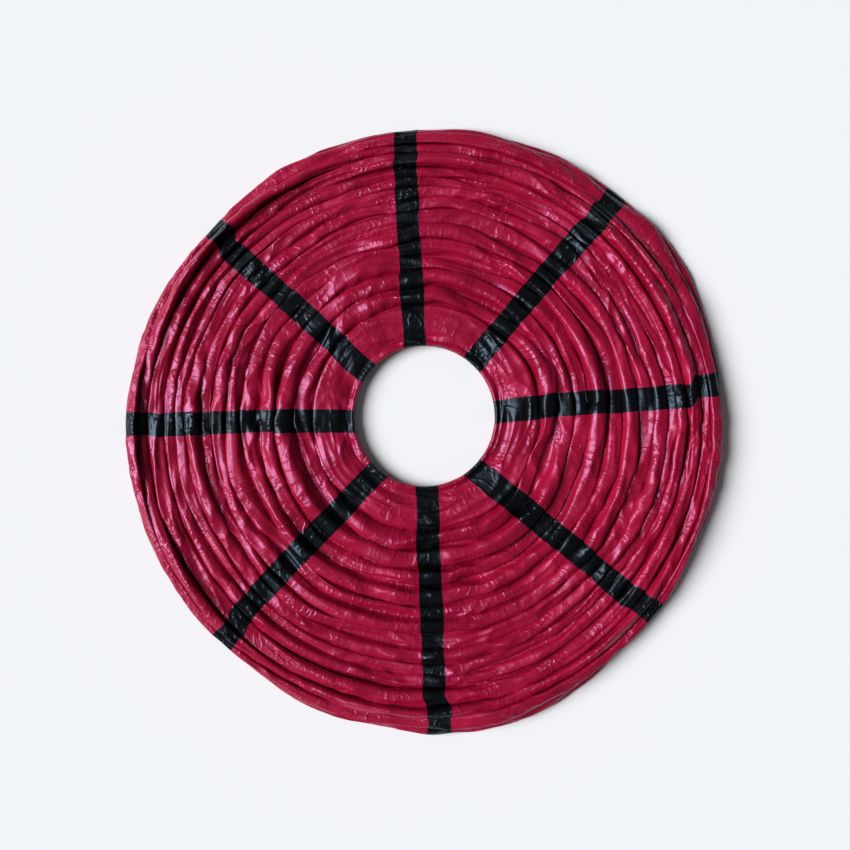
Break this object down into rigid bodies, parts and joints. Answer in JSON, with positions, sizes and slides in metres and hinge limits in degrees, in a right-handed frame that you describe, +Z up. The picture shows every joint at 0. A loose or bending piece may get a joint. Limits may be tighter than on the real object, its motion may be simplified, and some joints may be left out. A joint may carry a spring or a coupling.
{
  "type": "collapsible lantern shade",
  "caption": "Round collapsible lantern shade of thin glossy red film with black stripes over nested wire hoops, lying flat round an open centre, which draws out into a globe.",
  "frame": {"origin": "on the surface the flat shade lies on, under the centre of its widest hoops", "axes": "+Z up, along which the shade draws open; +Y towards the side that the opening hoops lie off centre to"},
  "size_m": [0.412, 0.412, 0.0129],
  "materials": {
    "wire": "plain drawn wire",
    "film": "thin glossy crinkled film, red with black stripes"
  },
  "bodies": {
    "bottom_ring": {"opening_hoop_bottom": "wire", "film_band_01": "film"},
    "ring_02": {"hoop_02": "wire", "film_band_02": "film"},
    "ring_03": {"hoop_03": "wire", "film_band_03": "film"},
    "ring_04": {"hoop_04": "wire", "film_band_04": "film"},
    "ring_05": {"hoop_05": "wire", "film_band_05": "film"},
    "ring_06": {"hoop_06": "wire", "film_band_06": "film"},
    "ring_07": {"hoop_07": "wire", "film_band_07": "film"},
    "ring_08": {"hoop_08": "wire", "film_band_08": "film"},
    "ring_09": {"hoop_09": "wire", "film_band_09": "film"},
    "ring_10": {"hoop_10": "wire", "film_band_10": "film"},
    "ring_11": {"hoop_11": "wire", "film_band_11": "film"},
    "ring_12": {"hoop_12": "wire", "film_band_12": "film"},
    "ring_13": {"hoop_13": "wire", "film_band_13": "film"},
    "ring_14": {"hoop_14": "wire", "film_band_14": "film"},
    "ring_15": {"hoop_15": "wire", "film_band_15": "film"},
    "ring_16": {"hoop_16": "wire", "film_band_16": "film"},
    "ring_17": {"hoop_17": "wire", "film_band_17": "film"},
    "ring_18": {"hoop_18": "wire", "film_band_18": "film"},
    "ring_19": {"hoop_19": "wire", "film_band_19": "film"},
    "top_ring": {"opening_hoop_top": "wire"}
  },
  "joints": [
    {"name": "unfold_01", "type": "slide", "parent": "bottom_ring", "child": "ring_02", "axis": [0, 0.0956, 0.9954], "range_m": [0, 0.00912], "deforming": ["film_band_01"]},
    {"name": "unfold_02", "type": "slide", "parent": "ring_02", "child": "ring_03", "axis": [0, 0.0934, 0.9956], "range_m": [0, 0.01238], "deforming": ["film_band_02"]},
    {"name": "unfold_03", "type": "slide", "parent": "ring_03", "child": "ring_04", "axis": [0, 0.0862, 0.9963], "range_m": [0, 0.01571], "deforming": ["film_band_03"]},
    {"name": "unfold_04", "type": "slide", "parent": "ring_04", "child": "ring_05", "axis": [0, 0.0772, 0.997], "range_m": [0, 0.01872], "deforming": ["film_band_04"]},
    {"name": "unfold_05", "type": "slide", "parent": "ring_05", "child": "ring_06", "axis": [0, 0.0668, 0.9978], "range_m": [0, 0.02137], "deforming": ["film_band_05"]},
    {"name": "unfold_06", "type": "slide", "parent": "ring_06", "child": "ring_07", "axis": [0, 0.0551, 0.9985], "range_m": [0, 0.0236], "deforming": ["film_band_06"]},
    {"name": "unfold_07", "type": "slide", "parent": "ring_07", "child": "ring_08", "axis": [0, 0.0423, 0.9991], "range_m": [0, 0.02538], "deforming": ["film_band_07"]},
    {"name": "unfold_08", "type": "slide", "parent": "ring_08", "child": "ring_09", "axis": [0, 0.0287, 0.9996], "range_m": [0, 0.02668], "deforming": ["film_band_08"]},
    {"name": "unfold_09", "type": "slide", "parent": "ring_09", "child": "ring_10", "axis": [0, 0.0145, 0.9999], "range_m": [0, 0.02746], "deforming": ["film_band_09"]},
    {"name": "unfold_10", "type": "slide", "parent": "ring_10", "child": "ring_11", "axis": [0, 0, 1], "range_m": [0, 0.02123], "deforming": ["film_band_10"]},
    {"name": "unfold_11", "type": "slide", "parent": "ring_11", "child": "ring_12", "axis": [0, -0.0145, 0.9999], "range_m": [0, 0.02746], "deforming": ["film_band_11"]},
    {"name": "unfold_12", "type": "slide", "parent": "ring_12", "child": "ring_13", "axis": [0, -0.0287, 0.9996], "range_m": [0, 0.02668], "deforming": ["film_band_12"]},
    {"name": "unfold_13", "type": "slide", "parent": "ring_13", "child": "ring_14", "axis": [0, -0.0423, 0.9991], "range_m": [0, 0.02538], "deforming": ["film_band_13"]},
    {"name": "unfold_14", "type": "slide", "parent": "ring_14", "child": "ring_15", "axis": [0, -0.0551, 0.9985], "range_m": [0, 0.0236], "deforming": ["film_band_14"]},
    {"name": "unfold_15", "type": "slide", "parent": "ring_15", "child": "ring_16", "axis": [0, -0.0668, 0.9978], "range_m": [0, 0.02137], "deforming": ["film_band_15"]},
    {"name": "unfold_16", "type": "slide", "parent": "ring_16", "child": "ring_17", "axis": [0, -0.0772, 0.997], "range_m": [0, 0.01872], "deforming": ["film_band_16"]},
    {"name": "unfold_17", "type": "slide", "parent": "ring_17", "child": "ring_18", "axis": [0, -0.0862, 0.9963], "range_m": [0, 0.01571], "deforming": ["film_band_17"]},
    {"name": "unfold_18", "type": "slide", "parent": "ring_18", "child": "ring_19", "axis": [0, -0.0934, 0.9956], "range_m": [0, 0.01238], "deforming": ["film_band_18"]},
    {"name": "unfold_19", "type": "slide", "parent": "ring_19", "child": "top_ring", "axis": [0, -0.1023, 0.9947], "range_m": [0, 0.00852], "deforming": ["film_band_19"]}
  ],
  "couplings": [
    {"joint": "unfold_02", "follows": "unfold_01", "ratio": 1.3582},
    {"joint": "unfold_03", "follows": "unfold_01", "ratio": 1.7223},
    {"joint": "unfold_04", "follows": "unfold_01", "ratio": 2.0528},
    {"joint": "unfold_05", "follows": "unfold_01", "ratio": 2.3433},
    {"joint": "unfold_06", "follows": "unfold_01", "ratio": 2.5885},
    {"joint": "unfold_07", "follows": "unfold_01", "ratio": 2.7838},
    {"joint": "unfold_08", "follows": "unfold_01", "ratio": 2.9258},
    {"joint": "unfold_09", "follows": "unfold_01", "ratio": 3.0121},
    {"joint": "unfold_10", "follows": "unfold_01", "ratio": 2.3281},
    {"joint": "unfold_11", "follows": "unfold_01", "ratio": 3.0121},
    {"joint": "unfold_12", "follows": "unfold_01", "ratio": 2.9258},
    {"joint": "unfold_13", "follows": "unfold_01", "ratio": 2.7838},
    {"joint": "unfold_14", "follows": "unfold_01", "ratio": 2.5885},
    {"joint": "unfold_15", "follows": "unfold_01", "ratio": 2.3433},
    {"joint": "unfold_16", "follows": "unfold_01", "ratio": 2.0528},
    {"joint": "unfold_17", "follows": "unfold_01", "ratio": 1.7223},
    {"joint": "unfold_18", "follows": "unfold_01", "ratio": 1.3582},
    {"joint": "unfold_19", "follows": "unfold_01", "ratio": 0.93452}
  ]
}
